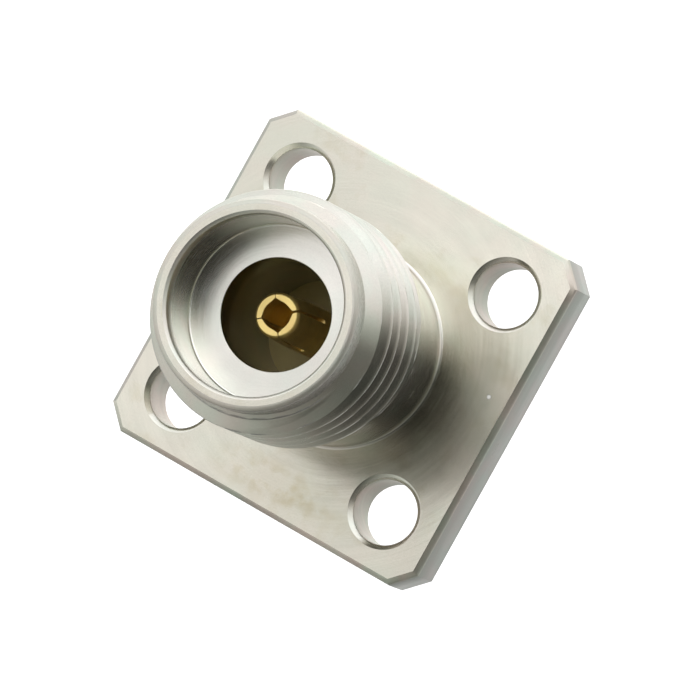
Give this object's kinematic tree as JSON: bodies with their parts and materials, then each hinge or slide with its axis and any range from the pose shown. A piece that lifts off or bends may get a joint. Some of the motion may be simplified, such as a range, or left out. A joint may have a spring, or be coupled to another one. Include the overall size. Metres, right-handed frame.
{
  "type": "flange mount coaxial jack",
  "caption": "Square-flange coaxial jack with a threaded barrel, counterbored mating face and slotted gold socket contact on the axis.",
  "frame": {"origin": "centre of the flange's rear mounting face", "axes": "+Z along the coaxial line, from the flange towards the mating end; X and Y square to the flange's sides"},
  "size_m": [0.0096, 0.0096, 0.0093],
  "materials": {
    "passivated_steel": "satin turned and milled stainless steel, passivated, with fine tool marks",
    "gold_plate": "satin gold plate over beryllium copper",
    "amber_plastic": "machined amber polyetherimide",
    "bushing_steel": "fine turned stainless steel"
  },
  "bodies": {
    "root": {"flanged_body": "passivated_steel", "centre_contact": "gold_plate", "support_bead": "amber_plastic", "rear_bushing": "bushing_steel"}
  },
  "joints": []
}
